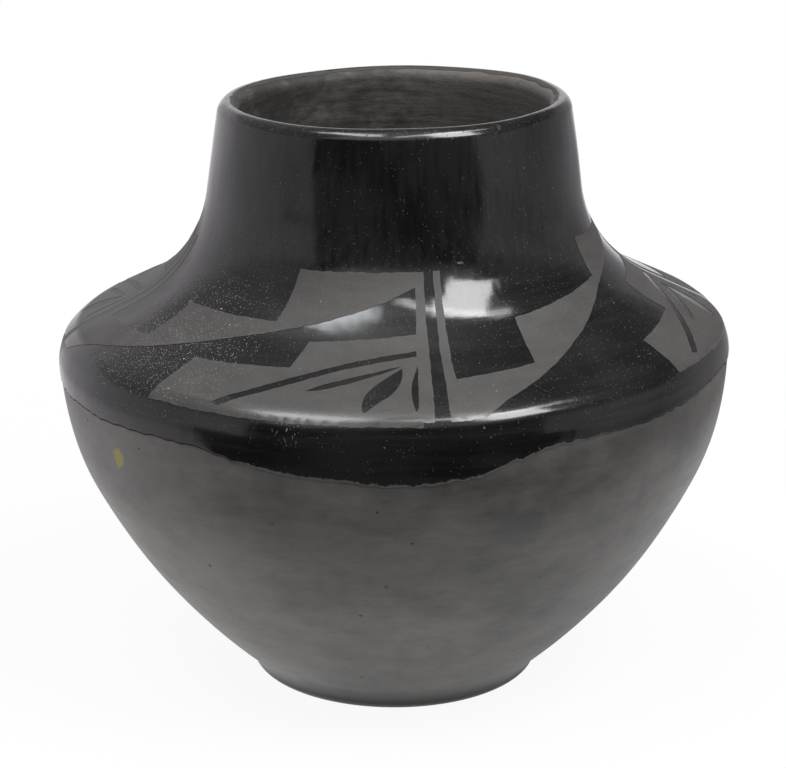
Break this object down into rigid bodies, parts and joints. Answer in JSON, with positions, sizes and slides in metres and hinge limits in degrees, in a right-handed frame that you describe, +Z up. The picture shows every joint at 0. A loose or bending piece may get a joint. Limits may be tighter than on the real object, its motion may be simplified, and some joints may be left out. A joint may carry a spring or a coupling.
{
  "type": "pueblo pottery jar",
  "caption": "Free-standing black-on-black pottery jar with a small foot, wide belly, sloping painted shoulder and open upright neck, built up in rings of clay.",
  "frame": {"origin": "bottom centre of the jar, on its axis in the plane of the standing ring", "axes": "+Z up along the jar's axis, -Y towards the picture's camera, +X to its right"},
  "size_m": [0.204, 0.204, 0.18],
  "materials": {
    "burnished_clay": "lightly burnished, satin, smoked grey-black",
    "scraped_clay": "scraped and smoothed, matt, smoked brown-black",
    "polished_slip": "stone-polished slip, glossy, smoked black",
    "matt_paint": "matt slip paint, dull, smoked grey-black"
  },
  "bodies": {
    "root": {"base_pat": "burnished_clay", "wall_coil_1": "burnished_clay", "wall_coil_2": "burnished_clay", "wall_coil_3": "burnished_clay", "wall_coil_4": "burnished_clay", "wall_coil_5": "burnished_clay", "belly_coil": "burnished_clay", "edge_coil_1": "scraped_clay", "edge_coil_2": "scraped_clay", "shoulder_coil": "scraped_clay", "neck_coil_1": "scraped_clay", "neck_coil_2": "scraped_clay", "neck_coil_3": "scraped_clay", "rim_coil": "scraped_clay", "polished_slip": "polished_slip", "bar_paint": "matt_paint", "stepped_paint": "matt_paint", "feather_panel_paint": "matt_paint"}
  },
  "joints": []
}
